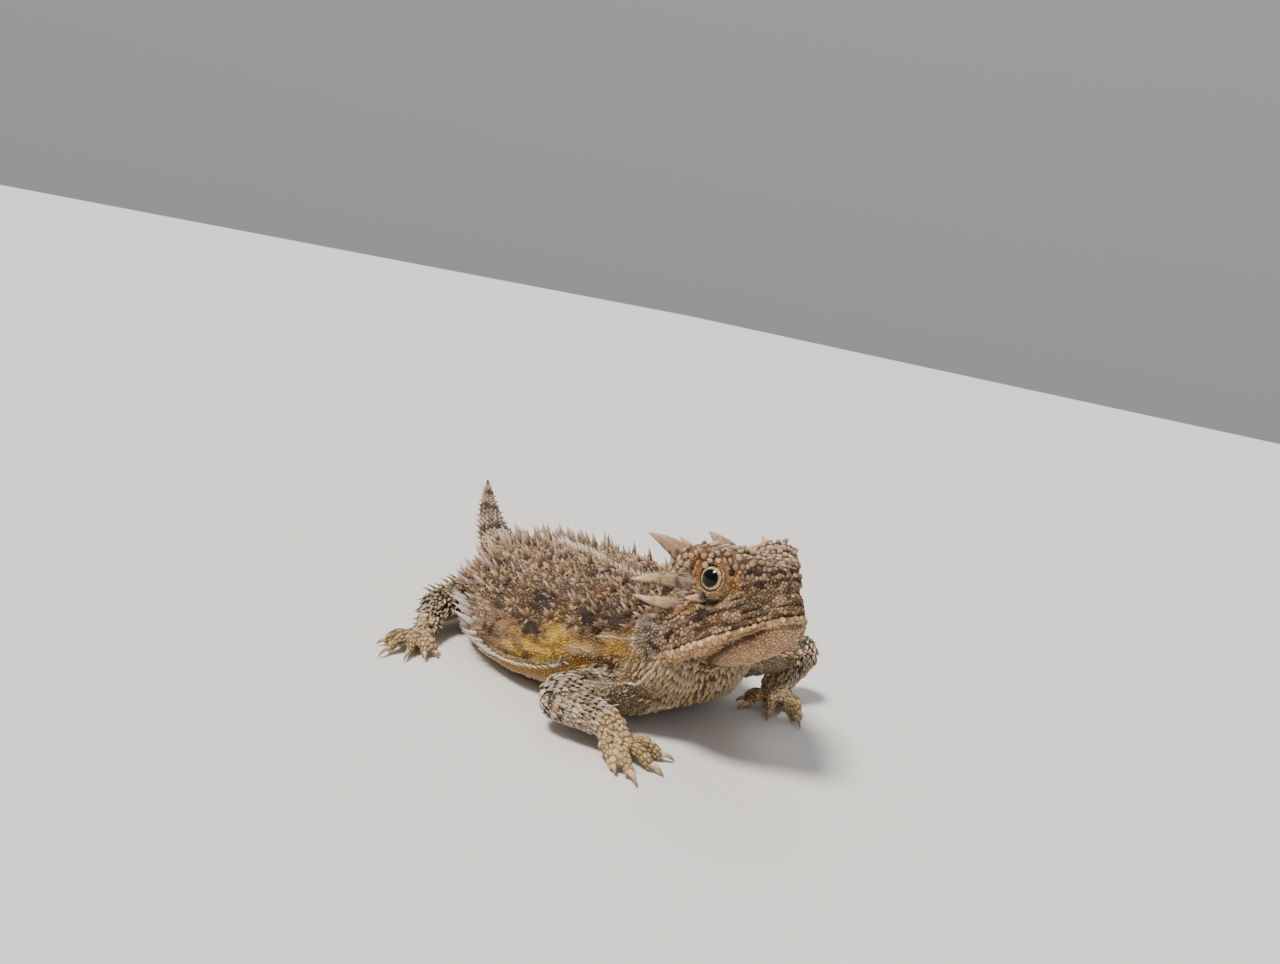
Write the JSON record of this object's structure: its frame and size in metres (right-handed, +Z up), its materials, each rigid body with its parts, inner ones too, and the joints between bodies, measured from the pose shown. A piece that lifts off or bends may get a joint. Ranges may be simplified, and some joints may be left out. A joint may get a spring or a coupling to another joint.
{
  "type": "horned lizard",
  "caption": "Life-size still model of a Texas horned lizard at rest, belly on the ground, forelegs propped and head raised.",
  "frame": {"origin": "on the flat of the belly, under the middle of the trunk, at floor level", "axes": "+X towards the head, +Y to the animal's left, +Z up"},
  "size_m": [0.1256, 0.0906, 0.0375],
  "materials": {
    "back_skin": "matt, spiny",
    "head_skin": "matt, horny plates",
    "throat_skin": "matt, fine scales",
    "leg_skin": "matt, keeled scales",
    "foot_skin": "satin",
    "horn": "satin horn",
    "eye": "wet gloss"
  },
  "bodies": {
    "root": {"eye_L": "eye", "eye_R": "eye", "foot_L": "foot_skin", "foot_R": "foot_skin", "forearm_L": "leg_skin", "forearm_R": "leg_skin", "hand_L": "foot_skin", "hand_R": "foot_skin", "head": "head_skin", "horn_brow_L": "horn", "horn_brow_R": "horn", "horn_occipital_L": "horn", "horn_occipital_R": "horn", "horn_temporal_a_L": "horn", "horn_temporal_a_R": "horn", "horn_temporal_b_L": "horn", "horn_temporal_b_R": "horn", "horn_temporal_c_L": "horn", "horn_temporal_c_R": "horn", "jaw": "throat_skin", "neck": "back_skin", "shank_L": "leg_skin", "shank_R": "leg_skin", "tail_base": "back_skin", "tail_tip": "back_skin", "thigh_L": "leg_skin", "thigh_R": "leg_skin", "torso": "back_skin", "upper_arm_L": "leg_skin", "upper_arm_R": "leg_skin"}
  },
  "joints": []
}
